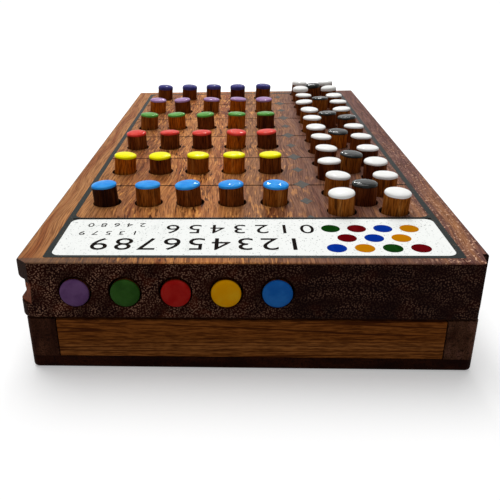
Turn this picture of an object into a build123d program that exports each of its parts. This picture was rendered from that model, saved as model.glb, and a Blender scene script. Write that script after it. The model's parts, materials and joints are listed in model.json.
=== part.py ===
"""Code breaking peg game: a drilled hardwood board on a low case with a drawer.

A thick plank carries the game. Six rows of five holes take the guesses, a
narrow field beside each row takes five answer pegs, and five holes in the
front end of the plank hide the secret code. The plank lies on two rails and a
base board, and a shallow drawer for the spare pegs slides between them.

Every peg is a short dowel with one end dipped in paint, which dries as a low
dome. The pegs are looser than their holes, so each one leans its own way.

Millimetres. X runs to the right, Y away from the player who sets the code,
and Z up. The origin is the middle of the underside.
"""

import math
import os

from build123d import *

os.makedirs("parts", exist_ok=True)

# Driving sizes of the board. Its right side is cut a little out of square, so
# the front end is the wider one.
board_width = 142.3
board_back_inset = 2.6
board_length = 260.0
board_thickness = 19.5
board_front_corner_radius = 4.0
board_back_corner_radius = 4.5
board_top_ease = 0.8
board_bottom_ease = 1.4

# Groove along the left side of the board, with a lower lip that slopes
groove_depth = 2.5
groove_below_top = 6.2
groove_height = 3.9
groove_lip_slope = 3.3
groove_edge_radius = 1.2

# Splinter lost from the groove's lip at the front left corner. It is widest
# at its foot, a little below the lip, and runs up to a point on the front end.
lip_chip_width = 4.0
lip_chip_depth = 3.4
lip_chip_height = 7.4
lip_chip_below_lip = 0.7
lip_chip_point_from_left = 4.5

# Splinter lost from the whole height of the front right corner
corner_split_near_width = 2.8
corner_split_far_width = 2.1
corner_split_depth = 6.6

# Case under the board, set in from the front end's width
case_left_inset = 1.3
case_right_inset = 2.0
case_corner_radius = 2.0
rail_width = 9.2
rail_height = 13.5
base_thickness = 4.5
base_edge_radius = 1.2

# Drawer between the rails
drawer_side_gap = 0.3
drawer_top_gap = 0.4
drawer_panel_thickness = 6.0
drawer_side_thickness = 4.0
drawer_floor_thickness = 2.5
drawer_edge_ease = 0.3

# Holes and pegs
hole_diameter = 10.0
hole_ease = 0.25
guess_hole_depth = 10.0
secret_hole_depth = 16.4
peg_diameter = 9.0
peg_length = 17.2
peg_dome_height = 0.9
peg_rim_radius = 0.35
peg_foot_chamfer = 0.3
peg_gap = 0.1

# Layout of the holes. The guesses fill the field between these distances from
# the board's four sides, and the code and the answers take shares of its width.
guess_rows = 6
code_columns = 5
first_row_from_front = 51.2
last_row_from_back = 21.3
code_from_left = 18.8
answers_from_right = 20.7
code_width_share = 0.6
answer_width_share = 0.175
secret_pitch = 15.4
first_secret_from_left = 17.9
secret_above_board_underside = 9.7

# How far past a face a cut runs
overrun = 2.0

# How each peg leans to the right and away, as shares of the most that its
# hole allows. One line per guess, the nearest first.
code_lean_shares = [
    [(-0.8, 0.1), (-0.1, 0.4), (-0.9, -0.2), (-0.5, 0.3), (0.4, -0.3)],
    [(0.9, 0.1), (0.0, -0.4), (0.6, 0.2), (0.15, 0.5), (-0.3, 0.4)],
    [(-0.25, -0.5), (0.0, 0.6), (-0.2, 0.2), (0.75, -0.3), (-0.75, 0.2)],
    [(0.9, 0.1), (-0.45, 0.3), (-0.65, -0.2), (0.45, 0.5), (0.0, 0.6)],
    [(0.95, -0.2), (-0.7, -0.3), (0.95, 0.1), (0.9, 0.3), (0.1, -0.5)],
    [(0.95, 0.1), (0.9, -0.2), (0.55, 0.4), (0.15, -0.3), (0.8, 0.2)],
]

# The answer pegs of one guess: front left, front right, back left and back
# right, and then the one in the middle
answer_lean_shares = [
    [(-0.6, -0.2), (0.7, -0.3), (0.8, 0.2), (0.2, 0.5), (0.05, 0.4)],
    [(-0.3, 0.5), (-0.1, -0.6), (0.75, 0.1), (0.15, 0.3), (0.95, -0.1)],
    [(0.6, 0.3), (0.5, 0.5), (0.0, -0.4), (0.1, 0.6), (0.25, -0.3)],
    [(0.1, 0.2), (-0.65, 0.3), (0.35, -0.5), (-0.75, 0.1), (-0.2, 0.5)],
    [(-0.95, 0.1), (0.0, 0.5), (0.4, 0.3), (-0.1, -0.2), (-0.1, 0.6)],
    [(0.0, -0.5), (-0.95, 0.1), (0.95, -0.1), (-0.95, 0.2), (-0.9, 0.1)],
]

# Their colours in the same order, white or black. In the fourth guess the
# front right peg is a black one.
answer_colours = ["wwwwb", "wwwwb", "wwwwb", "wbwwb", "wwwwb", "wwwwb"]

# The secret pegs lie in their holes, down by one share of the play, and
# point a little to one side
secret_drop_share = 0.85
secret_lean_shares = [-0.3, 0.1, 0.3, -0.2, -0.1]

# Sizes that follow
case_width = board_width - case_left_inset - case_right_inset
case_middle_x = (case_left_inset - case_right_inset) / 2
case_height = base_thickness + rail_height
board_top = case_height + board_thickness
left = -board_width / 2
front = -board_length / 2
groove_top = board_top - groove_below_top
groove_floor = groove_top - groove_height
lip_height = groove_floor - groove_lip_slope
lip_chip_foot = lip_height - lip_chip_below_lip
channel_width = case_width - 2 * rail_width
drawer_width = channel_width - 2 * drawer_side_gap
drawer_height = rail_height - drawer_top_gap
drawer_inner_width = drawer_width - 2 * drawer_side_thickness
drawer_inner_length = board_length - 2 * drawer_panel_thickness
peg_radius = peg_diameter / 2
peg_play = hole_diameter / 2 - peg_radius - peg_gap
guess_lean = 2 * peg_play / guess_hole_depth
secret_lean = 2 * peg_play / secret_hole_depth
secret_height = case_height + secret_above_board_underside
field_width = board_width - code_from_left - answers_from_right
code_pitch = field_width * code_width_share / (code_columns - 1)
answer_pitch = field_width * answer_width_share / 2
row_pitch = (board_length - first_row_from_front - last_row_from_back) / (guess_rows - 1)
answer_step = row_pitch / 4
first_code_x = left + code_from_left
first_secret_x = left + first_secret_from_left
first_row_y = front + first_row_from_front
answer_middle_x = -left - answers_from_right - answer_pitch

code_places = [
    [(first_code_x + column * code_pitch, first_row_y + row * row_pitch) for column in range(code_columns)]
    for row in range(guess_rows)
]
answer_places = [
    [
        (answer_middle_x + across * answer_pitch, first_row_y + row * row_pitch + along * answer_step)
        for across, along in [(-1, -1), (1, -1), (-1, 1), (1, 1), (0, 0)]
    ]
    for row in range(guess_rows)
]
secret_places = [first_secret_x + column * secret_pitch for column in range(code_columns)]


def save(part, name):
    """Label a finished piece and write it to its own file."""
    part.label = name
    export_step(part, f"parts/{name}.step")


def peg_axis(place, lean_shares):
    """Foot and direction of a peg that leans in an upright hole.

    It turns about the middle of the hole's depth, so the foot and the mouth
    of the hole share the play between them.
    """
    lean_x = lean_shares[0] * guess_lean
    lean_y = lean_shares[1] * guess_lean
    direction = Vector(lean_x, lean_y, 1).normalized()
    foot_rise = peg_gap + peg_radius * math.hypot(direction.X, direction.Y)
    foot_below_middle = guess_hole_depth / 2 - foot_rise
    foot = Vector(
        place[0] - lean_x * foot_below_middle,
        place[1] - lean_y * foot_below_middle,
        board_top - guess_hole_depth + foot_rise,
    )
    return foot, direction


def secret_peg_axis(place_x, lean_share):
    """Foot and direction of a peg that lies in a hole of the front end."""
    lean_x = lean_share * secret_lean
    direction = Vector(lean_x, -1, 0).normalized()
    foot_y = front + secret_hole_depth - peg_gap - peg_radius * abs(direction.X)
    foot_behind_middle = secret_hole_depth / 2 - peg_gap
    foot = Vector(
        place_x - lean_x * foot_behind_middle,
        foot_y,
        secret_height - secret_drop_share * peg_play,
    )
    return foot, direction


def add_peg(foot, direction):
    """Turn one peg about its own axis, inside the part that is being built."""
    side = Vector(0, 0, 1).cross(direction)
    if side.length < peg_gap / peg_length:
        side = Vector(1, 0, 0)
    side = side.normalized()
    rim_height = peg_length - peg_dome_height
    with BuildSketch(Plane(origin=foot, x_dir=side, z_dir=side.cross(direction))) as profile:
        with BuildLine():
            Polyline(
                (0, peg_length),
                (0, 0),
                (peg_radius - peg_foot_chamfer, 0),
                (peg_radius, peg_foot_chamfer),
                (peg_radius, rim_height),
            )
            TangentArc((0, peg_length), (peg_radius, rim_height), tangent=(1, 0))
        make_face()
        rim = profile.vertices().sort_by_distance((peg_radius, rim_height))[0]
        fillet(rim, radius=peg_rim_radius)
    revolve(profile.sketch, axis=Axis(foot, direction))


# The board: a plank with eased edges, a side groove and sixty-five holes
with BuildPart() as play_board:
    with BuildSketch(Plane.XY.offset(case_height)) as plank_outline:
        with BuildLine():
            Polyline(
                (left, front),
                (-left, front),
                (-left - board_back_inset, -front),
                (left, -front),
                close=True,
            )
        make_face()
        front_corners, back_corners = plank_outline.vertices().group_by(Axis.Y)
        fillet(front_corners, radius=board_front_corner_radius)
        fillet(back_corners, radius=board_back_corner_radius)
    extrude(amount=board_thickness)
    fillet(play_board.faces().sort_by(Axis.Z)[-1].edges(), radius=board_top_ease)
    fillet(play_board.faces().sort_by(Axis.Z)[0].edges(), radius=board_bottom_ease)

    # Groove, drawn on the front end, with the rounded edge above it
    with BuildSketch(Plane.XZ.offset(board_length / 2 + overrun)):
        with BuildLine():
            Polyline(
                (left, groove_top + groove_edge_radius),
                (left - overrun, groove_top + groove_edge_radius),
                (left - overrun, lip_height),
                (left, lip_height),
                (left + groove_depth, groove_floor),
                (left + groove_depth, groove_top),
                (left + groove_edge_radius, groove_top),
            )
            TangentArc(
                (left, groove_top + groove_edge_radius),
                (left + groove_edge_radius, groove_top),
                tangent=(0, -1),
            )
        make_face()
    extrude(amount=-(board_length + 2 * overrun), mode=Mode.SUBTRACT)

    # Splinter lost from the lip at the front left corner
    with BuildSketch(Plane.XY.offset(lip_chip_foot)) as chip_foot:
        with BuildLine():
            Polyline(
                (left - overrun, front - overrun),
                (left + lip_chip_width + overrun * lip_chip_width / lip_chip_depth, front - overrun),
                (left - overrun, front + lip_chip_depth + overrun * lip_chip_depth / lip_chip_width),
                close=True,
            )
        make_face()
    chip_point = Vertex(left + lip_chip_point_from_left, front, lip_chip_foot + lip_chip_height)
    loft([chip_foot.sketch.face(), chip_point], ruled=True, mode=Mode.SUBTRACT)

    # Splinter lost from the whole height of the front right corner
    with BuildSketch(Plane.XY.offset(case_height - overrun)):
        with BuildLine():
            Polyline(
                (-left + overrun, front - overrun),
                (-left - corner_split_near_width, front - overrun),
                (-left - corner_split_near_width, front),
                (-left - corner_split_far_width, front + corner_split_depth),
                (-left + overrun, front + corner_split_depth),
                close=True,
            )
        make_face()
    extrude(amount=board_thickness + 2 * overrun, mode=Mode.SUBTRACT)

    guess_mouths = [
        (x, y, board_top) for row in code_places + answer_places for x, y in row
    ]
    with Locations(*guess_mouths):
        CounterSinkHole(
            radius=hole_diameter / 2,
            counter_sink_radius=hole_diameter / 2 + hole_ease,
            depth=guess_hole_depth,
        )
    secret_mouths = [
        Plane(origin=(x, front, secret_height), x_dir=(1, 0, 0), z_dir=(0, -1, 0))
        for x in secret_places
    ]
    with Locations(*secret_mouths):
        CounterSinkHole(
            radius=hole_diameter / 2,
            counter_sink_radius=hole_diameter / 2 + hole_ease,
            depth=secret_hole_depth,
        )
save(play_board.part, "play_board")

# The two rails that carry the board, rounded at their outer corners
for side_name, side in [("left", -1), ("right", 1)]:
    with BuildPart() as rail:
        with BuildSketch(Plane.XY.offset(base_thickness)):
            with Locations((case_middle_x + side * (case_width - rail_width) / 2, 0)):
                Rectangle(rail_width, board_length)
        extrude(amount=rail_height)
        outer_corners = rail.edges().filter_by(Axis.Z).group_by(Axis.X)[-1 if side > 0 else 0]
        fillet(outer_corners, radius=case_corner_radius)
    save(rail.part, f"{side_name}_rail")

# The base board closes the case from below
with BuildPart() as base_board:
    with BuildSketch():
        with Locations((case_middle_x, 0)):
            RectangleRounded(case_width, board_length, case_corner_radius)
    extrude(amount=base_thickness)
    fillet(base_board.faces().sort_by(Axis.Z)[0].edges(), radius=base_edge_radius)
save(base_board.part, "base_board")

# The drawer: two end panels with eased edges, two sides and a floor
for end_name, end in [("front", -1), ("back", 1)]:
    with BuildPart() as end_panel:
        with BuildSketch(Plane.XY.offset(base_thickness)):
            with Locations((case_middle_x, end * (board_length - drawer_panel_thickness) / 2)):
                Rectangle(drawer_width, drawer_panel_thickness)
        extrude(amount=drawer_height)
        outer_face = end_panel.faces().sort_by(Axis.Y)[-1 if end > 0 else 0]
        fillet(outer_face.edges(), radius=drawer_edge_ease)
    save(end_panel.part, f"drawer_{end_name}")

for side_name, side in [("left", -1), ("right", 1)]:
    with BuildPart() as drawer_side:
        with BuildSketch(Plane.XY.offset(base_thickness)):
            with Locations((case_middle_x + side * (drawer_width - drawer_side_thickness) / 2, 0)):
                Rectangle(drawer_side_thickness, drawer_inner_length)
        extrude(amount=drawer_height)
    save(drawer_side.part, f"drawer_{side_name}_side")

with BuildPart() as drawer_floor:
    with BuildSketch(Plane.XY.offset(base_thickness)):
        with Locations((case_middle_x, 0)):
            Rectangle(drawer_inner_width, drawer_inner_length)
    extrude(amount=drawer_floor_thickness)
save(drawer_floor.part, "drawer_floor")

# The secret code in the front end
for column, place_x in enumerate(secret_places):
    with BuildPart() as secret_peg:
        add_peg(*secret_peg_axis(place_x, secret_lean_shares[column]))
    save(secret_peg.part, f"secret_peg_{column + 1}")

# The guesses, one node for every peg
for row in range(guess_rows):
    for column in range(code_columns):
        with BuildPart() as guess_peg:
            add_peg(*peg_axis(code_places[row][column], code_lean_shares[row][column]))
        save(guess_peg.part, f"guess_{row + 1}_peg_{column + 1}")

# The answers, one node for the white pegs and one for the black pegs of a guess
for row in range(guess_rows):
    for colour in ["white", "black"]:
        with BuildPart() as answer_pegs:
            for place, lean_shares, letter in zip(
                answer_places[row], answer_lean_shares[row], answer_colours[row]
            ):
                if colour.startswith(letter):
                    add_peg(*peg_axis(place, lean_shares))
        save(answer_pegs.part, f"answer_{row + 1}_{colour}_pegs")
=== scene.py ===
# %% [markdown]
# # A code breaking peg game in oiled hardwood
#
# The real object is a thick plank with sixty-five drilled holes, glued on a
# low case with a drawer. Its pegs are short dowels with one end dipped in
# enamel. The plank, the case, the drawer and the bare dowels come from the
# CAD model as a fixed frame. What is modelled here is what a workshop adds
# last: the paint on the pegs and the screen print on the board.

import json
import math
import random

import bmesh
import bpy
from mathutils import Euler, Matrix, Vector

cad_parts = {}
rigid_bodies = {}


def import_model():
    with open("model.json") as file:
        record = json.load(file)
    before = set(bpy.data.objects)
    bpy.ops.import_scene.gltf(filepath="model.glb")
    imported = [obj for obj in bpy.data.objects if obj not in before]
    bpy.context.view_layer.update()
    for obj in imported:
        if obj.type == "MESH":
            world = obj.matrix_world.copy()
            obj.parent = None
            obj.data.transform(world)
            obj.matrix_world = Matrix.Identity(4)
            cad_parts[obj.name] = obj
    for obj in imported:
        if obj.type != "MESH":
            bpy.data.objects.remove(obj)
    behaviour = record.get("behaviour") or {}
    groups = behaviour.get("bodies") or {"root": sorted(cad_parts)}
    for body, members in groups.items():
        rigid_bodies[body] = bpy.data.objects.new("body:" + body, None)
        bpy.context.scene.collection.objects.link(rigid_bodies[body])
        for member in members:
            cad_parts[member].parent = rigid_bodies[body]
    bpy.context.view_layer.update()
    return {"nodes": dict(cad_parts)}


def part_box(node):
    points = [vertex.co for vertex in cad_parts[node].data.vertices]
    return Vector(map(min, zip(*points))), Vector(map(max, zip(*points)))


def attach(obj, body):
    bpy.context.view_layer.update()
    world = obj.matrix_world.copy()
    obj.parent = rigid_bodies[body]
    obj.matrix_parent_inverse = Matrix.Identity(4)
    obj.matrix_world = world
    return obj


bpy.ops.object.select_all(action="SELECT")
bpy.ops.object.delete()
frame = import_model()
nodes = frame["nodes"]
mm = 0.001

# %% [markdown]
# Most things here sit on the plank, so its box gives their places.

# %% The plank's edges
board_low, board_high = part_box("play_board")
board_left, board_front = board_low.x, board_low.y
board_right, board_back = board_high.x, board_high.y
board_length = board_back - board_front
board_top = board_high.z
print("plank in mm:", [round(side / mm, 1) for side in board_high - board_low])

# %% [markdown]
# ## Finishes
#
# Finishes are built from nodes. One function turns the sRGB colours that
# people write into the linear numbers that light is computed in, and one adds
# a node with its settings and links, and hands back the node or one of its
# outputs.


# %% Colours and nodes
def linear(hex_code):
    """An sRGB colour such as "#9e6841" as linear red, green, blue and alpha."""
    shares = [int(hex_code[start:start + 2], 16) / 255 for start in (1, 3, 5)]
    return (*[s / 12.92 if s <= 0.04045 else ((s + 0.055) / 1.055) ** 2.4 for s in shares], 1.0)


def add_node(tree, kind, inputs=None, stops=None, out=None, **settings):
    """Add a node. An input is a number, a hex colour, a vector or another node's output."""
    node = tree.nodes.new("ShaderNode" + kind)
    for name, value in settings.items():
        setattr(node, name, value)
    for place, (position, hex_code) in enumerate(stops or []):
        ramp = node.color_ramp.elements
        stop = ramp[place] if place < 2 else ramp.new(position)
        stop.position = position
        stop.color = linear(hex_code)
    for name, value in (inputs or {}).items():
        socket = node.inputs[name]
        if isinstance(value, bpy.types.NodeSocket):
            tree.links.new(value, socket)
        elif isinstance(value, str):
            socket.default_value = linear(value)
        else:
            socket.default_value = value
    return node if out is None else node.outputs[out]


print("light from an sRGB mid grey, as a share of white:", round(linear("#808080")[0], 3))

# %% [markdown]
# Every finish starts with an empty shader and ends with its three links: the
# colour, a roughness that follows one pattern, and the relief of a pattern.


# %% Start and end of a finish
def new_finish(name, specular):
    """An empty material with its shader."""
    material = bpy.data.materials.new(name)
    material.use_nodes = True
    tree = material.node_tree
    tree.nodes.clear()
    shader = add_node(tree, "BsdfPrincipled", {"Specular IOR Level": specular})
    add_node(tree, "OutputMaterial", {"Surface": shader.outputs["BSDF"]})
    return material, tree, shader


def link_finish(tree, shader, colour, shine, span, roughness, relief, strength, depth):
    """Link the colour, the roughness over the span of one pattern, and the bump of another."""
    tree.links.new(colour, shader.inputs["Base Color"])
    level = add_node(tree, "MapRange", {"Value": shine, "From Min": span[0], "From Max": span[1],
                                        "To Min": roughness[0], "To Max": roughness[1]}, out="Result")
    tree.links.new(level, shader.inputs["Roughness"])
    bump = add_node(tree, "Bump", {"Height": relief, "Strength": strength, "Distance": depth}, out="Normal")
    tree.links.new(bump, shader.inputs["Normal"])


# %% [markdown]
# ## Wood
#
# Everything but the paint is wood, and all wood here is one idea seen at
# several scales: a pattern that is stretched along the grain. Each layer gets
# a real width and length in millimetres, such as fibres 1 mm wide and 20 mm
# long. The patterns read Object coordinates, so they stay on the piece when
# it moves.


# %% Patterns and layers
def grain(tree, place, size, detail=2.0, roughness=0.55):
    """A pattern of soft patches, each about size = (x, y, z) millimetres."""
    scale = [1 / (side * mm) for side in size]
    mapped = add_node(tree, "Mapping", {"Vector": place, "Scale": scale}, out="Vector")
    inputs = {"Vector": mapped, "Scale": 1.0, "Detail": detail, "Roughness": roughness}
    return add_node(tree, "TexNoise", inputs, out="Fac")


def layer(tree, base, over, pattern, low, high, share=1.0, blend_type="MIX"):
    """Lay a colour over another where a pattern goes softly from low to high, up to a share."""
    way = {"Value": pattern, "From Min": low, "From Max": high, "To Max": share}
    cover = add_node(tree, "MapRange", way, interpolation_type="SMOOTHSTEP", out="Result")
    colours = {0: cover, 6: base, 7: over}
    return add_node(tree, "Mix", colours, data_type="RGBA", blend_type=blend_type, out=2)


# %% [markdown]
# ### Oiled hardwood plank
#
# The plank is a dark tropical hardwood, planed, drilled and oiled. Its colour
# changes from side to side: tan at the left edge, orange in the middle, and
# dull red to the right. Long bands along the grain make it uneven.


# %% The plank's ground colour
def ground_colour(tree, swayed, swayed_x):
    """The colour from side to side in long bands, and the share of the way across where it is read."""
    across = add_node(tree, "MapRange", {"Value": swayed_x, "From Min": board_left, "From Max": board_right},
                      out="Result")
    across_stops = [
        (0.0, "#b67f50"), (0.1, "#b0794a"), (0.2, "#9e643c"), (0.28, "#be7c44"), (0.4, "#bb763e"),
        (0.5, "#9d693f"), (0.6, "#8a5b3e"), (0.68, "#7d5542"), (0.8, "#735144"), (1.0, "#6c4640"),
    ]
    colour = add_node(tree, "ValToRGB", {"Fac": across}, stops=across_stops, out="Color")
    bands = grain(tree, swayed, (5, 140, 12), detail=3)
    colour = layer(tree, colour, "#c8a08a", bands, 0.52, 0.34, 0.8, "MULTIPLY")
    return layer(tree, colour, "#d09058", bands, 0.55, 0.72, 0.4), across


# %% [markdown]
# Over the ground lies a restless figure of dark streaks and orange flames,
# about 1 mm wide and 8 mm long. It is strongest in the left half of the plank,
# short of the edge, and comes and goes in patches of 2 or 3 cm.


# %% Streaks and flames
def flamed(tree, colour, place, swayed, across):
    """Lay dark streaks and orange flames over the colour."""
    heart_stops = [(0.05, "#303030"), (0.12, "#ffffff"), (0.54, "#ffffff"), (0.68, "#606060")]
    heart = add_node(tree, "ValToRGB", {"Fac": across}, stops=heart_stops, out="Color")
    come_and_go = grain(tree, place, (16, 30, 16), detail=1)
    patches = add_node(tree, "MapRange", {"Value": come_and_go, "From Min": 0.36, "From Max": 0.6,
                                          "To Min": 0.35}, out="Result")
    figure = add_node(tree, "Math", {0: patches, 1: heart}, operation="MULTIPLY", out=0)
    streaks = grain(tree, swayed, (0.9, 7, 0.9), detail=2, roughness=0.6)
    colour = layer(tree, colour, "#481f0a", streaks, 0.48, 0.36, figure)
    flames = grain(tree, swayed, (1.1, 8, 1.1), detail=2)
    return layer(tree, colour, "#e39c55", flames, 0.53, 0.64, figure)


# %% [markdown]
# Pale pin flecks lie along the right side, densest at the near corner. In front of the print, the left part
# of the edge is drawn a duller brown.

# %% Flecks and a duller strip
flecks_start_x, flecks_full_x = 42 * mm, 66 * mm
flecks_far_y, flecks_near_y = board_front + 230 * mm, board_front + 10 * mm
dull_start_x, dull_full_x = -10 * mm, -50 * mm
dull_far_y, dull_near_y = board_front + 4 * mm, board_front + 3 * mm


def flecked(tree, colour, place, axes):
    """Scatter flecks that thicken towards the near right corner."""
    near_side = add_node(tree, "MapRange", {"Value": axes["X"], "From Min": flecks_start_x,
                                            "From Max": flecks_full_x, "To Max": 0.9}, out="Result")
    near_front = add_node(tree, "MapRange", {"Value": axes["Y"], "From Min": flecks_far_y,
                                             "From Max": flecks_near_y}, out="Result")
    near_corner = add_node(tree, "Math", {0: near_side, 1: near_front}, operation="MULTIPLY", out=0)
    flecks = grain(tree, place, (0.7, 1.0, 0.7), detail=1)
    return layer(tree, colour, "#d8ab8e", flecks, 0.6, 0.68, near_corner)


def dulled_strip(tree, colour, axes):
    """Dull the strip in front of the print."""
    on_strip = add_node(tree, "MapRange", {"Value": axes["Y"], "From Min": dull_far_y,
                                           "From Max": dull_near_y}, out="Result")
    on_left = add_node(tree, "MapRange", {"Value": axes["X"], "From Min": dull_start_x,
                                          "From Max": dull_full_x, "To Max": 0.6}, out="Result")
    dull = add_node(tree, "Math", {0: on_strip, 1: on_left}, operation="MULTIPLY", out=0)
    # A duller brown towards the left of the strip in front of the print.
    return layer(tree, colour, "#54473f", dull, 0.0, 1.0)


# %% [markdown]
# Straight grain would look like print, so a broad pattern first pushes the
# place where the grain is read a few millimetres to and fro.

# %% The plank's sanded top
sway_width = 9 * mm


def sanded_top(tree, place, axes):
    """Colour of the top, and its fibres for the bump."""
    sway = add_node(tree, "Math", {0: grain(tree, place, (30, 45, 30), detail=1), 1: 0.5},
                    operation="SUBTRACT", out=0)
    swayed_x = add_node(tree, "Math", {0: sway, 1: sway_width, 2: axes["X"]}, operation="MULTIPLY_ADD",
                        out=0)
    swayed = add_node(tree, "CombineXYZ", {"X": swayed_x, "Y": axes["Y"], "Z": axes["Z"]}, out="Vector")
    colour, across = ground_colour(tree, swayed, swayed_x)
    colour = flamed(tree, colour, place, swayed, across)
    fibres = grain(tree, swayed, (0.5, 14, 0.5), detail=3, roughness=0.65)
    colour = layer(tree, colour, "#a08c80", fibres, 0.6, 0.36, 0.8, "MULTIPLY")
    colour = flecked(tree, colour, place, axes)
    return dulled_strip(tree, colour, axes), fibres


# %% [markdown]
# The ends cut across the grain, and there the pores show as a dense pale
# grain on nearly black wood. They are drawn about 0.4 mm wide, coarser than
# real ones, so that they show at all. They are palest on the left, and on the
# right only faint arcs of the growth rings are left.

# %% The plank's dark ends
ring_centre = (30 * mm, 0, -20 * mm)
ring_width = 16 * mm
pore_pitch = 0.7 * mm
end_dark_start_x, end_dark_full_x = -10 * mm, 25 * mm
pores_full_x, pores_faint_x = -40 * mm, 20 * mm


def pore_share_of_end(tree, place, axes):
    """How much the pores show: by growth rings, from left to right and in patches."""
    from_centre = add_node(tree, "Mapping", {"Vector": place, "Location": [-side for side in ring_centre],
                                             "Scale": (1, 0, 1)}, out="Vector")
    rings = add_node(tree, "TexWave", {"Vector": from_centre, "Scale": 1 / ring_width, "Distortion": 1.5,
                                       "Detail": 2.0}, wave_type="RINGS", rings_direction="Y", out="Fac")
    ring_level = add_node(tree, "MapRange", {"Value": rings, "To Min": 0.4}, out="Result")
    side_level = add_node(tree, "MapRange", {"Value": axes["X"], "From Min": pores_full_x,
                                             "From Max": pores_faint_x, "To Min": 0.85, "To Max": 0.32},
                          out="Result")
    patches = grain(tree, place, (9, 40, 7), detail=2)
    patch_level = add_node(tree, "MapRange", {"Value": patches, "From Min": 0.4, "From Max": 0.52,
                                              "To Min": 0.35, "To Max": 1.15}, out="Result")
    ring_pores = add_node(tree, "Math", {0: ring_level, 1: side_level}, operation="MULTIPLY", out=0)
    return add_node(tree, "Math", {0: ring_pores, 1: patch_level}, operation="MULTIPLY", out=0)


def pored_end(tree, place, axes):
    """Nearly black wood full of pale pores, with rusty patches."""
    colour = layer(tree, "#1a0301", "#2e0f07", grain(tree, place, (9, 40, 6), detail=2), 0.35, 0.6)
    colour = layer(tree, colour, "#5a2412", grain(tree, place, (7, 40, 5), detail=1), 0.56, 0.72, 0.45)
    colour = layer(tree, colour, "#100405", axes["X"], end_dark_start_x, end_dark_full_x, 0.75)
    end_plane = add_node(tree, "CombineXYZ", {"X": axes["X"], "Y": axes["Z"]}, out="Vector")
    from_pore = add_node(tree, "TexVoronoi", {"Vector": end_plane, "Scale": 1 / pore_pitch},
                         voronoi_dimensions="2D", out="Distance")
    return layer(tree, colour, "#a87c64", from_pore, 0.42, 0.15, pore_share_of_end(tree, place, axes))


# %% [markdown]
# A splinter has left the groove's lip at the near left corner. Its torn face
# is fresher and paler. It is the only one in its band of height there that
# looks both to the left and to the front.

# %% The torn corner
torn_width = 6 * mm
lip_end_width = 3 * mm
torn_middle_z = board_top - 11 * mm
torn_half_height = 4 * mm


def torn_corner(tree, colour, place, axes, facing):
    """Show fresh wood on the face that the splinter left."""
    at_left = add_node(tree, "Math", {0: axes["X"], 1: board_left + torn_width}, operation="LESS_THAN",
                       out=0)
    from_corner = add_node(tree, "Math", {0: axes["X"], 1: axes["Y"]}, operation="ADD", out=0)
    behind_corner = add_node(tree, "Math", {0: from_corner, 1: board_left + board_front + lip_end_width},
                             operation="GREATER_THAN", out=0)
    in_band = add_node(tree, "Math", {0: axes["Z"], 1: torn_middle_z, 2: torn_half_height},
                       operation="COMPARE", out=0)
    at_left_in_band = add_node(tree, "Math", {0: at_left, 1: in_band}, operation="MULTIPLY", out=0)
    share = add_node(tree, "Math", {0: at_left_in_band, 1: behind_corner}, operation="MULTIPLY", out=0)
    least_turned = add_node(tree, "Math", {0: facing["X"], 1: facing["Y"]}, operation="MAXIMUM", out=0)
    torn = layer(tree, "#9c5c44", "#70402c", grain(tree, place, (1.5, 1.5, 3), detail=2), 0.42, 0.6)
    return layer(tree, colour, torn, least_turned, -0.25, -0.35, share)


# %% [markdown]
# The mesh tells the finishes apart by the way that each face looks. Only the face that looks up, at the top,
# gets the sanded colour. The eased long edges, the sides and the holes are near black: partly a darker wood,
# partly painted shade, since the sides and eases face away from the light and the holes are hollows. The
# eased long edges, the sides
# and the holes stayed dark.
#
# Wood hardly shines here: the specular level is far below the usual 0.5,
# because this room is white all round, and a low sheen would lie on the dark
# wood as a grey veil.

# %% Oiled hardwood
top_colour_depth = 0.5 * mm
fibre_relief = 0.05 * mm


def oiled_hardwood():
    """The plank's one finish, with its sanded top, dark sides, pored ends and torn corner."""
    material, tree, shader = new_finish("oiled_hardwood_plank", specular=0.02)
    place = add_node(tree, "TexCoord", out="Object")
    axes = add_node(tree, "SeparateXYZ", {"Vector": place}).outputs
    facing = add_node(tree, "SeparateXYZ", {"Vector": add_node(tree, "NewGeometry", out="Normal")}).outputs
    top_colour, fibres = sanded_top(tree, place, axes)

    # Near black for the sides, eased edges and holes: a darker wood with painted shade over it.
    colour = layer(tree, "#150804", "#361a0c", fibres, 0.35, 0.65)
    looks_along = add_node(tree, "Math", {0: facing["Y"]}, operation="ABSOLUTE", out=0)
    colour = layer(tree, colour, pored_end(tree, place, axes), looks_along, 0.85, 0.95)
    looks_across = add_node(tree, "Math", {0: facing["X"]}, operation="ABSOLUTE", out=0)
    looks_up = add_node(tree, "Math", {0: looks_across, 1: -1.3, 2: facing["Z"]}, operation="MULTIPLY_ADD",
                        out=0)
    at_top = add_node(tree, "Math", {0: axes["Z"], 1: board_top - top_colour_depth}, operation="GREATER_THAN",
                      out=0)
    colour = layer(tree, colour, top_colour, looks_up, 0.5, 0.65, at_top)
    colour = torn_corner(tree, colour, place, axes, facing)
    link_finish(tree, shader, colour, shine=fibres, span=(0.2, 0.8), roughness=(0.55, 0.4),
                relief=fibres, strength=0.25, depth=fibre_relief)
    return material


plank_wood = oiled_hardwood()
print("nodes in the plank's finish:", len(plank_wood.node_tree.nodes))

# %% [markdown]
# ### Stained case, drawer, dowels
#
# The other woods are straight grained: soft bands, fine fibres and short dark
# dashes, each with its own width and length along the grain. Growth rings are
# drawn where they show, as thin dark lines along the levels of a pattern.

# %% Straight grained wood
ring_step = 0.06


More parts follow.
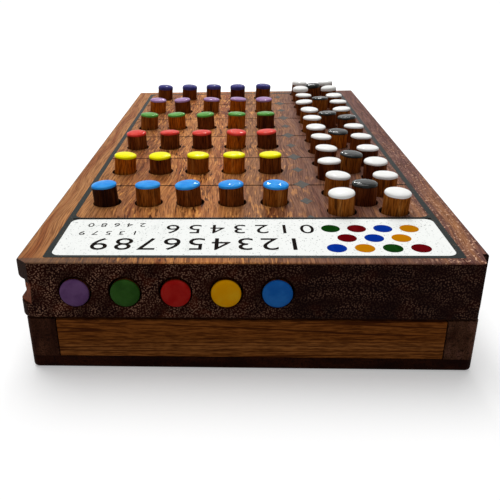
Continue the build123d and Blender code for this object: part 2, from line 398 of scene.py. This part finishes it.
def straight_wood(name, stops, bands, dashes, dash_colour, dash_share, ring_share=0.0):
    """Wood with soft bands, fine fibres, dark dashes, and ring lines where wanted."""
    material, tree, shader = new_finish(name, specular=0.02)
    place = add_node(tree, "TexCoord", out="Object")
    broad = grain(tree, place, bands, detail=3)
    colour = add_node(tree, "ValToRGB", {"Fac": broad}, stops=stops, out="Color")
    fine = grain(tree, place, [side * 0.45 for side in dashes], detail=3, roughness=0.6)
    colour = layer(tree, colour, "#98887c", fine, 0.62, 0.36, 0.85, "MULTIPLY")
    colour = layer(tree, colour, dash_colour, grain(tree, place, dashes, detail=2), 0.53, 0.66, dash_share)
    if ring_share:
        growth = grain(tree, place, bands, detail=0)
        off_ring = add_node(tree, "Math", {0: growth, 1: ring_step}, operation="PINGPONG", out=0)
        colour = layer(tree, colour, dash_colour, off_ring, 0.016, 0.002, ring_share)
    link_finish(tree, shader, colour, shine=fine, span=(0.2, 0.8), roughness=(0.62, 0.46),
                relief=fine, strength=0.2, depth=fibre_relief)
    return material


# %% [markdown]
# The rails are stained nearly black, the right one a little lighter, and the
# base is darker still. The drawer's ends are golden brown with dark ring lines
# and dashes from side to side.

# %% Woods of the case and the drawer
rail_stains = {
    "left_rail": [(0.3, "#2c130b"), (0.5, "#4b2b1e"), (0.7, "#6e4532")],
    "right_rail": [(0.3, "#381a10"), (0.5, "#5e3d2c"), (0.7, "#84594a")],
}
rail_woods = {
    rail: straight_wood(
        f"dark_stained_{rail}", stops,
        bands=(5, 120, 9), dashes=(0.9, 26, 0.9), dash_colour="#150704", dash_share=0.7,
    )
    for rail, stops in rail_stains.items()
}
base_wood = straight_wood(
    "black_stained_base", [(0.3, "#1a0804"), (0.5, "#2c130c"), (0.7, "#452214")],
    bands=(12, 120, 5), dashes=(0.9, 26, 0.9), dash_colour="#0c0402", dash_share=0.7,
)
drawer_end_wood = straight_wood(
    "golden_drawer_end", [(0.3, "#8a4a1c"), (0.5, "#9d5b26"), (0.7, "#b8743c")],
    bands=(300, 9, 5), dashes=(9, 2.5, 0.7), dash_colour="#3f1806", dash_share=0.6, ring_share=0.85,
)
drawer_side_wood = straight_wood(
    "golden_drawer_side", [(0.3, "#8a5220"), (0.5, "#9c6430"), (0.7, "#ad7740")],
    bands=(9, 150, 5), dashes=(0.8, 12, 0.8), dash_colour="#54300f", dash_share=0.5,
)
case_woods = [*rail_woods.values(), base_wood, drawer_end_wood, drawer_side_wood]
print("woods of the case and the drawer:", ", ".join(wood.name for wood in case_woods))

# %% [markdown]
# The dowels are turned from a brown wood whose grain runs along each peg, and
# no two are alike: five stains from orange to nearly black are shared out over
# the upright ones.

# %% Woods of the dowels
dowel_stains = {
    "orange": [(0.3, "#a8560a"), (0.5, "#c8690f"), (0.7, "#d9822c")],
    "golden": [(0.3, "#8a4a14"), (0.5, "#a85f1e"), (0.7, "#be7a38")],
    "brown": [(0.3, "#642e0c"), (0.5, "#824416"), (0.7, "#9b5a28")],
    "umber": [(0.3, "#4a1f0a"), (0.5, "#6a3313"), (0.7, "#864a23")],
    "dark": [(0.3, "#1c0a04"), (0.5, "#3c1c0c"), (0.7, "#74401b")],
}
upright_dowel_wood = {
    stain: straight_wood(
        f"{stain}_dowel", stops,
        bands=(2.5, 2.5, 40), dashes=(0.6, 0.6, 9), dash_colour="#250d04", dash_share=0.7,
    )
    for stain, stops in dowel_stains.items()
}
lying_dowel_wood = straight_wood(
    "brown_lying_dowel", dowel_stains["brown"],
    bands=(2.5, 40, 2.5), dashes=(0.6, 9, 0.6), dash_colour="#250d04", dash_share=0.7,
)
print("stains of the upright dowels:", ", ".join(upright_dowel_wood))

# %% [markdown]
# The stain of each guess dowel is listed, one letter for a peg: orange, golden, brown, umber or dark. The
# answer pegs of one colour in one guess share a node, so they share a stain. A CAD node keeps its mesh and
# only gets the finish.

# %% Give the CAD nodes their woods
guess_rows = 6
code_columns = 5
secret_pegs = 5
guess_stains = ["dgbbg", "obgob", "bbuou", "gobou", "obgog", "bbbub"]
answer_stains = {"white": "gubgbb", "black": "ugobgb"}
stain_names = {stain[0]: stain for stain in dowel_stains}


def clothe(name, material):
    """Swap the finish of one CAD node."""
    nodes[name].data.materials.clear()
    nodes[name].data.materials.append(material)


clothe("play_board", plank_wood)
for name, wood in rail_woods.items():
    clothe(name, wood)
clothe("base_board", base_wood)
for name in ("drawer_front", "drawer_back"):
    clothe(name, drawer_end_wood)
for name in ("drawer_left_side", "drawer_right_side", "drawer_floor"):
    clothe(name, drawer_side_wood)
for row in range(guess_rows):
    for column in range(code_columns):
        stain = stain_names[guess_stains[row][column]]
        clothe(f"guess_{row + 1}_peg_{column + 1}", upright_dowel_wood[stain])
    for colour in ("white", "black"):
        stain = stain_names[answer_stains[colour][row]]
        clothe(f"answer_{row + 1}_{colour}_pegs", upright_dowel_wood[stain])
for column in range(secret_pegs):
    clothe(f"secret_peg_{column + 1}", lying_dowel_wood)
print("CAD nodes with a wood of their own:", len(nodes))

# %% [markdown]
# ## Enamel
#
# The coloured ends are brushing enamel, put on thick by dipping. It dries glossy, levels itself into a low
# dome and keeps a faint unevenness, so the colour thins in soft clouds and small lamps glint in it. The pegs
# of the secret code get darker copies of the paints: partly their own colour, partly painted shade, as their
# ends face the front, away from the main light. Black shows the room around it most, so it shines more than
# the others.


# %% Enamel paint
enamel_relief = 0.16 * mm


def enamel(name, hex_code, thin_hex_code, specular=0.02):
    """Glossy paint, a little thinner in clouds of 4 mm."""
    material, tree, shader = new_finish(name, specular)
    place = add_node(tree, "TexCoord", out="Object")
    colour = layer(tree, hex_code, thin_hex_code, grain(tree, place, (4, 4, 4), detail=2), 0.35, 0.7)
    skin = grain(tree, place, (1.5, 1.5, 1.5), detail=1)
    link_finish(tree, shader, colour, shine=skin, span=(0.3, 0.7), roughness=(0.06, 0.12),
                relief=skin, strength=0.8, depth=enamel_relief)
    return material


enamels = {
    "blue": enamel("blue_enamel", "#2391ec", "#3ba3f4"),
    "yellow": enamel("yellow_enamel", "#fff600", "#fffc00"),
    "red": enamel("red_enamel", "#e0382e", "#ea5044"),
    "green": enamel("green_enamel", "#569a3c", "#68aa50"),
    "lilac": enamel("lilac_enamel", "#a47cae", "#b48ebc"),
    "navy": enamel("navy_enamel", "#3c3a7c", "#4c4a8c"),
    "white": enamel("white_enamel", "#f6f6f2", "#fbfbf9"),
    "black": enamel("black_enamel", "#171a18", "#2a2d2b", specular=0.12),
    # Darker copies of the paints for the secret code's ends: partly painted shade.
    "deep purple": enamel("deep_purple_enamel", "#6b4678", "#7c5688"),
    "deep green": enamel("deep_green_enamel", "#2c561a", "#396624"),
    "deep red": enamel("deep_red_enamel", "#b51410", "#c2261e"),
    "deep blue": enamel("deep_blue_enamel", "#1868c2", "#2a7ad0"),
    "amber": enamel("amber_enamel", "#ffae00", "#ffbc18"),
}
print("enamels:", ", ".join(enamels))

# %% [markdown]
# ## Tools for new pieces
#
# Operators act on all that is selected, and the frame arrives selected, so
# everything is deselected before each new piece. Parts of a mesh are picked in
# code, by their place or direction. What repeats is modelled once and copied.


# %% Start a piece, pick parts of it, finish it and copy it
def start_piece():
    """Leave nothing selected, so that the next operator acts on its own piece alone."""
    bpy.ops.object.select_all(action="DESELECT")


def pick(piece, kind, test):
    """In edit mode, select only the edges or faces that pass a test."""
    bpy.ops.mesh.select_mode(type={"edges": "EDGE", "faces": "FACE"}[kind])
    bpy.ops.mesh.select_all(action="DESELECT")
    shape = bmesh.from_edit_mesh(piece.data)
    for element in getattr(shape, kind):
        if test(element):
            element.select_set(True)
    shape.select_flush_mode()
    bmesh.update_edit_mesh(piece.data)


def finish_piece(piece, body, material):
    """Set the place into the mesh, give the finish, and let the piece move with its body."""
    start_piece()
    piece.select_set(True)
    bpy.context.view_layer.objects.active = piece
    bpy.ops.object.transform_apply(location=True, rotation=True, scale=True)
    piece.data.name = piece.name
    piece.data.materials.clear()
    piece.data.materials.append(material)
    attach(piece, body)


def copy_of(pattern, name, place):
    """A piece of the pattern's shape at a new place, with a mesh of its own."""
    piece = bpy.data.objects.new(name, pattern.data.copy())
    bpy.context.scene.collection.objects.link(piece)
    piece.matrix_world = place
    return piece


# %% [markdown]
# ## The paint on the pegs
#
# A dipped end is a thin skin of paint: nearly nothing at the shoulder, a
# little thicker on top. Its half profile is a closed outline, which runs over
# the crown, down the side, round the lip and back along the dowel.

# %% Half profile of the paint
dowel_radius = 4.5 * mm
dowel_length = 17.2 * mm
dowel_dome = 0.9 * mm
lip_height = 0.1 * mm
hidden_depth = 0.04 * mm
dome_steps = 9
dome_fullness = 3.0
rim_share, middle_share, middle_height_share = 0.9, 0.5, 0.66


def cap_profile(film, crown, reach):
    """Half profile of the paint, from the middle of its top round to the middle of its underside."""
    outer = dowel_radius + film
    top = dowel_dome + crown
    dome = []
    for step in range(dome_steps + 1):
        angle = math.pi / 2 * step / dome_steps
        radius = outer * math.sin(angle) ** (2 / dome_fullness)
        dome.append((radius, top * math.cos(angle) ** (2 / dome_fullness)))
    inner = dowel_radius - hidden_depth
    lip = [(outer, -reach / 2), (outer, lip_height - reach), (inner, -reach)]
    rim, middle = (inner * rim_share, 0.0), (inner * middle_share, dowel_dome * middle_height_share)
    return dome + lip + [(inner, -reach / 3), rim, middle, (0.0, dowel_dome - hidden_depth)]


print("points of one half profile:", len(cap_profile(0.12 * mm, 0.15 * mm, 0.3 * mm)))

# %% [markdown]
# The cap is made as a turner would: a ring of vertices is set along the
# profile and spun about the peg's axis. Then its lower edge is made to wander,
# where the paint ran.

# %% Spin the profile
cap_turns = 40
drip_height = 0.12 * mm
round_angle = math.radians(50)


def make_cap(name, film, crown, reach):
    """Spin the profile into one closed skin of paint, its shoulder at height zero."""
    profile = cap_profile(film, crown, reach)
    start_piece()
    bpy.ops.mesh.primitive_circle_add(vertices=len(profile), radius=dowel_radius)
    cap = bpy.context.object
    cap.name = name
    for vertex, (radius, height) in zip(cap.data.vertices, profile):
        vertex.co = (radius, 0, height)
    bpy.ops.object.mode_set(mode="EDIT")
    # The edge that closes the outline lies on the axis, where it would spin into nothing.
    pick(cap, "edges", lambda edge: all(v.co.x < hidden_depth for v in edge.verts))
    bpy.ops.mesh.delete(type="EDGE")
    bpy.ops.mesh.select_all(action="SELECT")
    bpy.ops.mesh.spin(steps=cap_turns, angle=2 * math.pi, center=(0, 0, 0), axis=(0, 0, 1))
    bpy.ops.mesh.select_all(action="SELECT")
    bpy.ops.mesh.remove_doubles(threshold=0.001 * mm)
    bpy.ops.mesh.normals_make_consistent(inside=False)
    bpy.ops.object.mode_set(mode="OBJECT")
    for vertex in cap.data.vertices:
        if vertex.co.z < -reach / 4:
            angle = math.atan2(vertex.co.y, vertex.co.x)
            wave = 0.6 * math.sin(2 * angle) + 0.4 * math.sin(5 * angle + 1)
            vertex.co.z += drip_height * wave * min(1, -vertex.co.z / reach)
    bpy.ops.object.shade_smooth_by_angle(angle=round_angle)
    return cap


# %% [markdown]
# The pegs weren't all dipped alike. The secret code's carry the thinnest
# paint, the nearest answer pegs have a higher crown, and the answers and
# guesses at the far end were dipped deepest. One cap is made for each.

# %% Four thicknesses of paint
thin_cap = make_cap("thin_cap", film=0.08 * mm, crown=0.12 * mm, reach=0.3 * mm)
full_cap = make_cap("full_cap", film=0.12 * mm, crown=0.15 * mm, reach=0.3 * mm)
thick_cap = make_cap("thick_cap", film=0.12 * mm, crown=0.35 * mm, reach=0.3 * mm)
deep_cap = make_cap("deep_cap", film=0.15 * mm, crown=1.0 * mm, reach=0.6 * mm)
print("faces of one cap:", len(full_cap.data.polygons))

# %% [markdown]
# Every peg leans its own way in its hole, so the caps can't stand on a grid.
# Each dowel's axis is measured from its mesh: of all the flat stretches of
# its surface the foot is the largest, its direction is the dowel's, and its
# middle is where the dowel starts. One node can hold several dowels, and in a
# merged copy of its mesh each is a group of joined faces. The faces to do are
# kept in a dictionary, which has an order, so every run finds the same order.


# %% Measure the dowels
# Joined faces look the same way when the cosine between them is above this.
any_way, same_way = -2, 0.99999


def joined_faces(todo, agreement):
    """Take one face and all that are joined to it, and look its way, out of the faces to do."""
    start, _ = todo.popitem()
    found, border = [], [start]
    while border:
        face = border.pop()
        found.append(face)
        for neighbour in [other for edge in face.edges for other in edge.link_faces]:
            if neighbour in todo and neighbour.normal.dot(start.normal) > agreement:
                del todo[neighbour]
                border.append(neighbour)
    return found


def area(faces):
    """The area of all the faces together."""
    return sum(face.calc_area() for face in faces)


def dowel_axes(name):
    """Middle of the foot and direction of each dowel in a CAD node."""
    shape = bmesh.new()
    shape.from_mesh(nodes[name].data)
    bmesh.ops.remove_doubles(shape, verts=shape.verts, dist=0.001 * mm)
    shape.normal_update()
    todo = dict.fromkeys(shape.faces)
    axes = []
    while todo:
        dowel = dict.fromkeys(joined_faces(todo, any_way))
        flats = []
        while dowel:
            flats.append(joined_faces(dowel, same_way))
        foot = max(flats, key=area)
        weighed = (face.calc_center_median() * face.calc_area() for face in foot)
        middle = sum(weighed, Vector()) / area(foot)
        axes.append((middle, -foot[0].normal.copy()))
    shape.free()
    return axes


print("dowels in the node answer_1_white_pegs:", len(dowel_axes("answer_1_white_pegs")))

# %% [markdown]
# The caps are copied to every peg, each copy turned its own way so that no
# two edges look alike. A cap moves with its peg.

# %% Dip every peg
chance = random.Random(7)


def dip(node, paint, pattern):
    """Put a copy of the cap on each dowel of a node."""
    for count, (foot, direction) in enumerate(dowel_axes(node)):
        own_turn = Matrix.Rotation(chance.uniform(0, 2 * math.pi), 4, "Z")
        upright = direction.to_track_quat("Z", "Y").to_matrix().to_4x4()
        shoulder = foot + direction * (dowel_length - dowel_dome)
        cap_place = Matrix.Translation(shoulder) @ upright @ own_turn
        cap = copy_of(pattern, f"{node}_paint_{count + 1}", cap_place)
        finish_piece(cap, node, enamels[paint])


row_paints = ["blue", "yellow", "red", "green", "lilac", "navy"]
secret_paints = ["deep purple", "deep green", "deep red", "amber", "deep blue"]
for column, paint in enumerate(secret_paints):
    dip(f"secret_peg_{column + 1}", paint, thin_cap)
for row, paint in enumerate(row_paints):
    for column in range(code_columns):
        dip(f"guess_{row + 1}_peg_{column + 1}", paint, deep_cap if paint == "navy" else full_cap)
    for colour in ("white", "black"):
        dip(f"answer_{row + 1}_{colour}_pegs", colour, {0: thick_cap, 5: deep_cap}.get(row, full_cap))
for pattern in (thin_cap, full_cap, thick_cap, deep_cap):
    bpy.data.objects.remove(pattern)

# %% [markdown]
# ## The screen print
#
# The board carries a dark frame with lines and stars, and a white panel with
# numbers and spots. Real ink is about 0.02 mm thick. It is drawn 0.05 mm thick
# here, and reaches a little into the wood, so that it never flickers with the
# surface it lies on. Frame, panel and lines start as one flat block each, with
# rounded corners where they have them.

# %% Screen ink
ink_height = 0.05 * mm
ink_depth = 0.03 * mm
pore_depth = 0.04 * mm


def worn_ink(name, hex_code, worn_hex_code, speck_hex_code, speck_share, specular=0.0):
    """Ink that thins over the grain and skips the open pores."""
    material, tree, shader = new_finish(name, specular)
    place = add_node(tree, "TexCoord", out="Object")
    thin = grain(tree, place, (2.5, 14, 2.5), detail=3)
    colour = layer(tree, hex_code, worn_hex_code, thin, 0.5, 0.75, 0.6)
    specks = grain(tree, place, (0.6, 0.9, 0.6), detail=2)
    colour = layer(tree, colour, speck_hex_code, specks, 0.6, 0.72, speck_share)
    link_finish(tree, shader, colour, shine=thin, span=(0.3, 0.8), roughness=(0.35, 0.5),
                relief=specks, strength=0.2, depth=-pore_depth)
    return material


# %% Inks of the print
frame_ink = worn_ink("blue_grey_screen_ink", "#272c2b", "#3c3a32", "#6a5342", 0.6, specular=0.02)
star_ink = worn_ink("thin_grey_screen_ink", "#45423c", "#62503f", "#795a48", 0.8, specular=0.02)
line_ink = worn_ink("black_screen_ink", "#1c1917", "#2b231f", "#4a3326", 0.4)
panel_ink = worn_ink("white_panel_ink", "#f6f8f5", "#e9ece9", "#8f9492", 0.7)
spot_inks = {
    "red": worn_ink("red_spot_ink", "#60040a", "#720d12", "#4a060a", 0.3),
    "green": worn_ink("green_spot_ink", "#0e380c", "#1b4a18", "#082808", 0.3),
    "amber": worn_ink("amber_spot_ink", "#bd7604", "#cf8a14", "#a06504", 0.3),
    "blue": worn_ink("blue_spot_ink", "#062e92", "#103ca8", "#052068", 0.3),
}
print("inks of the spots:", ", ".join(spot_inks))


# %% A flat block with rounded corners
corner_steps = 8


def flat_block(name, left, right, near, far, height=ink_height, corner=0.0):
    """A block on the plank between four lines, its upright edges rounded."""
    start_piece()
    middle = ((left + right) / 2, (near + far) / 2, board_top + (height - ink_depth) / 2)
    sides = (right - left, far - near, height + ink_depth)
    bpy.ops.mesh.primitive_cube_add(size=1, location=middle, scale=sides)
    block = bpy.context.object
    block.name = name
    bpy.ops.object.transform_apply(location=True, rotation=True, scale=True)
    if corner:
        bpy.ops.object.mode_set(mode="EDIT")
        pick(block, "edges", lambda edge: abs(edge.verts[0].co.z - edge.verts[1].co.z) > ink_depth)
        bpy.ops.mesh.bevel(offset=corner, segments=corner_steps, affect="EDGES")
        bpy.ops.object.mode_set(mode="OBJECT")
    return block


def cut(piece, tool):
    """Take the tool's shape out of the piece, and throw the tool away."""
    knife = piece.modifiers.new("cut", "BOOLEAN")
    knife.operation = "DIFFERENCE"
    knife.solver = "EXACT"
    knife.object = tool
    start_piece()
    piece.select_set(True)
    bpy.context.view_layer.objects.active = piece
    bpy.ops.object.modifier_apply(modifier=knife.name)
    bpy.data.objects.remove(tool)


# %% [markdown]
# ### Frame, panel and lines
#
# The frame runs round the whole print, with a bar between the panel and the
# field. It is one block with two windows cut through it.

# %% Frame and panel
print_left = board_left + 8.0 * mm
print_right = board_right - 7.3 * mm
print_near = board_front + 3.6 * mm
print_far = board_back - 7.0 * mm
frame_width = 2.0 * mm
near_frame_width = 1.7 * mm
panel_depth = 29.0 * mm
bar_width = 1.7 * mm
window_left = print_left + frame_width
window_right = print_right - frame_width
panel_near = print_near + near_frame_width
panel_far = panel_near + panel_depth
field_near = panel_far + bar_width
field_far = print_far - frame_width
frame_corner = 1.0 * mm
panel_corner = 2.8 * mm
field_corner = 3.4 * mm
window_reach = 0.5 * mm

print_frame = flat_block("print_frame", print_left, print_right, print_near, print_far, corner=frame_corner)
panel_window = flat_block("panel_window", window_left, window_right, panel_near, panel_far,
                          height=window_reach, corner=panel_corner)
field_window = flat_block("field_window", window_left, window_right, field_near, field_far,
                          height=window_reach, corner=field_corner)
for window in (panel_window, field_window):
    window.data.transform(Matrix.Translation((0, 0, -window_reach / 2)))
    cut(print_frame, window)
print_panel = flat_block("print_panel", window_left, window_right, panel_near, panel_far,
                         corner=panel_corner)
print("panel in mm:", round((window_right - window_left) / mm, 1), "by", round(panel_depth / mm, 1))

# %% [markdown]
# A thin black line crosses the field halfway between two rows of holes, and a
# black edge runs along the far side of the panel. The places of the rows are
# the maker's drilling plan, the same as in the CAD model.

# %% Lines
row_pitch = 37.5 * mm
first_row_y = board_front + 51.2 * mm
line_width = 0.8 * mm
edge_width = 1.1 * mm
line_near = first_row_y + row_pitch / 2 - line_width / 2
row_lines = [flat_block("row_line_1", window_left, window_right, line_near, line_near + line_width,
                        height=ink_height * 0.8)]
for count in range(1, guess_rows - 1):
    line_place = Matrix.Translation((0, count * row_pitch, 0))
    row_lines.append(copy_of(row_lines[0], f"row_line_{count + 1}", line_place))
panel_edge = flat_block("panel_edge", window_left, window_right, panel_far, panel_far + edge_width,
                        height=ink_height * 1.2)
print("row lines:", len(row_lines))

# %% [markdown]
# ### Stars
#
# A column of plain four-pointed stars parts the guesses from the answers: a
# large one on each line and a small one beside each row. The first lies mostly
# under the panel and the bar, so the stars are printed a little thinner than
# these. A star is a disc of eight corners, every second one pulled in.

# %% Large and small star
large_star = (3.4 * mm, 5.0 * mm)
small_star = (2.5 * mm, 3.6 * mm)
star_waist_share = 0.62
star_height = ink_height * 0.9


def make_star(name, reach):
    """A star about the origin, as far to the sides and along the board as its reach says."""
    start_piece()
    bpy.ops.mesh.primitive_circle_add(vertices=8, radius=1, fill_type="NGON")
    piece = bpy.context.object
    piece.name = name
    for vertex in piece.data.vertices:
        is_point = min(abs(vertex.co.x), abs(vertex.co.y)) < 0.1
        share = 1 if is_point else star_waist_share
        vertex.co.x *= share * reach[0]
        vertex.co.y *= share * reach[1]
    bpy.ops.object.mode_set(mode="EDIT")
    bpy.ops.mesh.select_all(action="SELECT")
    bpy.ops.mesh.extrude_region_move(TRANSFORM_OT_translate={"value": (0, 0, star_height + ink_depth)})
    bpy.ops.mesh.select_all(action="SELECT")
    bpy.ops.mesh.normals_make_consistent(inside=False)
    bpy.ops.object.mode_set(mode="OBJECT")
    return piece


star_patterns = [make_star("large_star", large_star), make_star("small_star", small_star)]
print("faces of one star:", len(star_patterns[0].data.polygons))

# %% The column of stars
star_column_x = 21.4 * mm
star_shift_y = 0.9 * mm

stars = []
for count in range(2 * guess_rows):
    star_y = first_row_y + (count - 1) * row_pitch / 2 + star_shift_y
    star_place = Matrix.Translation((star_column_x, star_y, board_top - ink_depth))
    stars.append(copy_of(star_patterns[count % 2], f"print_star_{count + 1}", star_place))
for pattern in star_patterns:
    bpy.data.objects.remove(pattern)
print("stars:", len(stars))

# %% [markdown]
# ### Numbers and spots
#
# The panel faces the other player, so seen from the front its numbers stand
# on their heads. They count the rounds of a match, with two short lines of
# small numbers for the points. Spots in four paint colours sit beside them in
# three staggered rows. Text becomes a mesh before its place is set, and its
# doubled edges are merged.

# %% Numbers
# A row of numbers is given by its digits, their height, its distance from the
# front end, and the pitch and first place of its digits.
digit_share_of_size = 0.7
number_rows = [
    ("123456789", 9.0 * mm, 14.2 * mm, 7.7 * mm, -47.5 * mm),
    ("0123456", 7.2 * mm, 26.1 * mm, 7.4 * mm, -25.3 * mm),
    ("13579", 3.2 * mm, 22.6 * mm, 4.4 * mm, -55.1 * mm),
    ("24680", 3.2 * mm, 29.4 * mm, 4.4 * mm, -53.5 * mm),
]


def number(name, text, size, x, y):
    """One digit as a flat block, on its head."""
    start_piece()
    bpy.ops.object.text_add(location=(0, 0, 0))
    piece = bpy.context.object
    piece.name = name
    piece.data.body = text
    piece.data.size = size / digit_share_of_size
    piece.data.align_x = "CENTER"
    piece.data.align_y = "CENTER"
    piece.data.resolution_u = 4
    piece.data.extrude = (ink_height + ink_depth) / 2
    bpy.ops.object.convert(target="MESH")
    piece = bpy.context.object
    bpy.ops.object.mode_set(mode="EDIT")
    bpy.ops.mesh.select_all(action="SELECT")
    bpy.ops.mesh.remove_doubles(threshold=0.001 * mm)
    bpy.ops.mesh.normals_make_consistent(inside=False)
    bpy.ops.object.mode_set(mode="OBJECT")
    height = board_top + ink_height * 1.6 - (ink_height + ink_depth) / 2
    piece.matrix_world = Matrix.Translation((x, y, height)) @ Matrix.Rotation(math.pi, 4, "Z")
    return piece


numbers = []
for line, (digits, size, y_from_front, pitch, first_x) in enumerate(number_rows):
    for count, digit in enumerate(reversed(digits)):
        name = f"print_number_{line + 1}_{count + 1}"
        numbers.append(number(name, digit, size, first_x + count * pitch, board_front + y_from_front))
print("numbers:", len(numbers))

# %% One spot
spot_radius = 3.05 * mm
spot_rings = 3
spot_ring_width = spot_radius * 0.12
spot_ring_rise = ink_height * 0.5


def make_spot():
    """A drop of ink about the origin, highest in its middle."""
    start_piece()
    bpy.ops.mesh.primitive_cylinder_add(vertices=40, radius=spot_radius, depth=ink_height + ink_depth)
    piece = bpy.context.object
    bpy.ops.object.mode_set(mode="EDIT")
    pick(piece, "faces", lambda face: face.normal.z > 0.5)
    for _ in range(spot_rings):
        bpy.ops.mesh.inset(thickness=spot_ring_width, depth=spot_ring_rise)
    bpy.ops.object.mode_set(mode="OBJECT")
    bpy.ops.object.shade_smooth_by_angle(angle=math.radians(40))
    return piece


spot_pattern = make_spot()
print("faces of one spot:", len(spot_pattern.data.polygons))

# %% Three staggered rows of spots
spot_pitch = 8.5 * mm
first_spot_x = 26.8 * mm
spot_rows_y = [10.6 * mm, 18.3 * mm, 26.0 * mm]
spot_colours = [
    ["blue", "amber", "green", "red"],
    ["red", "blue", "amber"],
    ["green", "red", "blue", "amber"],
]
longest_row = max(len(colours) for colours in spot_colours)

spots = []
for row, colours in enumerate(spot_colours):
    shift = (longest_row - len(colours)) * spot_pitch / 2
    for count, colour in enumerate(colours):
        spot_x, spot_y = first_spot_x + shift + count * spot_pitch, board_front + spot_rows_y[row]
        spot_place = Matrix.Translation((spot_x, spot_y, board_top + ink_height))
        spots.append((copy_of(spot_pattern, f"print_spot_{row + 1}_{count + 1}", spot_place), colour))
bpy.data.objects.remove(spot_pattern)
print("spots:", len(spots))

# %% [markdown]
# A print is never laid exactly square to the wood. This one is turned by a
# little over a third of a degree, and the screen was stretched, so that it is
# narrower at the far end.

# %% Turn and narrow the whole print, and let it ride on the plank
print_turn = math.radians(0.38)
far_width_share = 0.971
print_parts = [(print_frame, "print_ink", frame_ink), (print_panel, "label_ink", panel_ink)]
print_parts += [(piece, "print_ink", line_ink) for piece in row_lines + [panel_edge] + numbers]
print_parts += [(piece, "print_ink", star_ink) for piece in stars]
print_parts += [(piece, "label_ink", spot_inks[colour]) for piece, colour in spots]
for piece, slot, ink in print_parts:
    finish_piece(piece, "case", ink)
    for vertex in piece.data.vertices:
        away = vertex.co.y - board_front
        vertex.co.x *= 1 - (1 - far_width_share) * away / board_length
        vertex.co.x -= away * math.sin(print_turn)
print("printed pieces:", len(print_parts))

# %% [markdown]
# ## Camera, light and floor
#
# The photograph was taken from close by, a little above the front end, so
# the far end looks much smaller. The camera's place and lens were worked out
# from the plank's outline. Its frame is shifted a little to the right.

# %% Camera
camera_data = bpy.data.cameras.new("camera")
camera = bpy.data.objects.new("camera", camera_data)
bpy.context.scene.collection.objects.link(camera)
bpy.context.scene.camera = camera
camera_data.sensor_width = 36
camera_data.lens = 46.0
camera_data.shift_x = 0.08
camera_data.shift_y = -0.004
camera_data.clip_start = 0.01
camera_pitch = math.radians(24.59)
camera_turn = math.radians(3.388)
camera_roll = math.radians(-1.352)
camera_place = Vector((-1.65 * mm, board_front - 169.0 * mm, 119.9 * mm))
aim = Euler((math.pi / 2 - camera_pitch, 0, camera_turn)).to_matrix().to_4x4()
camera.matrix_world = Matrix.Translation(camera_place) @ aim @ Matrix.Rotation(camera_roll, 4, "Z")
print("camera's place in mm:", [round(side / mm, 1) for side in camera_place])

# %% [markdown]
# The room is white to the camera and in reflections, but gives little light.
# That light is soft, so the front end stays in shade without turning black.

# %% Room
scene = bpy.context.scene
scene.view_settings.view_transform = "Standard"

world = bpy.data.worlds.new("studio")
scene.world = world
world.use_nodes = True
sky = world.node_tree
sky.nodes.clear()
fill_level = 0.28


def seen_or_reflected(tree):
    """1 for rays that look at a thing, reflect it or pass through glass, and 0 for the light it gives."""
    rays = add_node(tree, "LightPath").outputs
    seen = add_node(tree, "Math", {0: rays["Is Camera Ray"], 1: rays["Is Glossy Ray"]},
                    operation="MAXIMUM", out=0)
    return add_node(tree, "Math", {0: seen, 1: rays["Is Transmission Ray"]}, operation="MAXIMUM", out=0)


strength = add_node(sky, "MapRange", {"Value": seen_or_reflected(sky), "To Min": fill_level}, out="Result")
background = add_node(sky, "Background", {"Color": "#ffffff", "Strength": strength}, out="Background")
add_node(sky, "OutputWorld", {"Surface": background})
print("light of the room, as a share of a white one:", fill_level)

# %% [markdown]
# The main light comes from above and a little behind, and is as wide as a
# bright sky. A window in front lifts the front end a little, and two small
# lamps behind the board make the glints on the caps.

# %% Lights
sun_data = bpy.data.lights.new("top_light", "SUN")
sun_data.energy = 2.15
sun_data.angle = math.radians(45)
sun = bpy.data.objects.new("top_light", sun_data)
scene.collection.objects.link(sun)
sun.rotation_euler = Euler((math.radians(-22), math.radians(-8), 0))

# A lamp is given by its name, place, size and power.
lamp_aim = Vector((0, -0.05, 0.04))
lamps = [
    ("front_window", (-0.15, -0.75, 0.80), 0.07, 0.35),
    ("left_back_lamp", (-0.03, 0.70, 0.46), 0.06, 0.8),
    ("right_back_lamp", (0.11, 0.70, 0.48), 0.06, 0.8),
]
for name, place, size, power in lamps:
    lamp_data = bpy.data.lights.new(name, "AREA")
    lamp_data.size = size
    lamp_data.energy = power
    lamp = bpy.data.objects.new(name, lamp_data)
    scene.collection.objects.link(lamp)
    lamp.location = place
    lamp.rotation_euler = (lamp_aim - lamp.location).to_track_quat("-Z", "Y").to_euler()
print("lights:", 1 + len(lamps))

# %% [markdown]
# The floor is a mid grey for the light that bounces off it, and white for the
# camera and in reflections. The object's shadow stays on it.

# %% Floor
floor_side = 8
start_piece()
bpy.ops.mesh.primitive_plane_add(size=floor_side)
floor = bpy.context.object
floor.name = "floor"
floor_paint = bpy.data.materials.new("matt_white_floor")
floor_paint.use_nodes = True
tree = floor_paint.node_tree
tree.nodes.clear()
grey = add_node(tree, "BsdfDiffuse", {"Color": "#8c8c8c"}, out=0)
white = add_node(tree, "BsdfDiffuse", {"Color": "#e4e4e4"}, out=0)
lift = add_node(tree, "Emission", {"Color": "#ffffff", "Strength": 0.32}, out=0)
bright = add_node(tree, "AddShader", {0: white, 1: lift}, out=0)
surface = add_node(tree, "MixShader", {0: seen_or_reflected(tree), 1: grey, 2: bright}, out=0)
add_node(tree, "OutputMaterial", {"Surface": surface})
floor.data.materials.append(floor_paint)
print("floor in metres:", floor_side)
